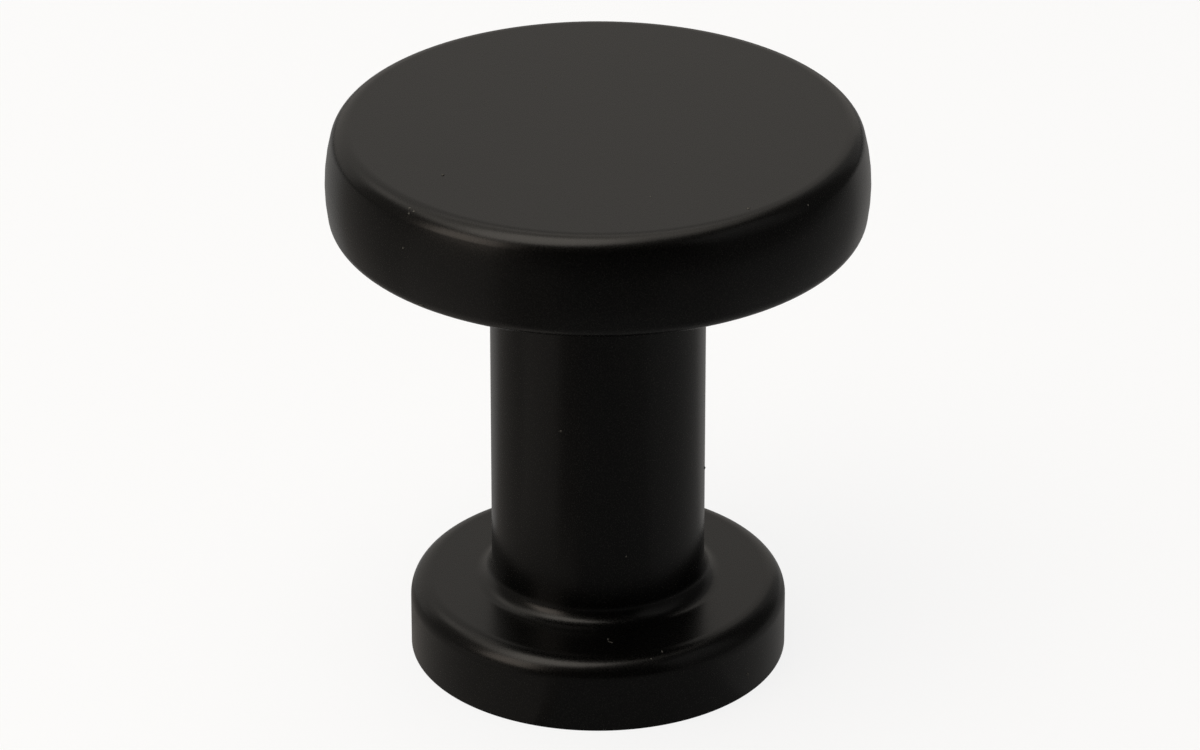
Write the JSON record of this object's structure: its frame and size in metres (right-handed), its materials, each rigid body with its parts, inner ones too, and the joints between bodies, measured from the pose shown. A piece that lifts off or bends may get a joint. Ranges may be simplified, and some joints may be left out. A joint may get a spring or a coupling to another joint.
{
  "type": "cabinet knob",
  "caption": "Round cabinet or drawer knob: a disc head with a crowned side on a plain stem and round foot, with a tapped blind hole underneath for the screw; matt black.",
  "frame": {"origin": "centre of the foot's underside, the face that stands on the drawer front", "axes": "+Z along the knob's axis, out of the drawer front, from the foot to the head; the knob is round, so +X and +Y are any two directions across it"},
  "size_m": [0.03, 0.03, 0.0322],
  "materials": {
    "powder_coated_zinc": "satin"
  },
  "bodies": {
    "root": {"knob": "powder_coated_zinc"}
  },
  "joints": []
}
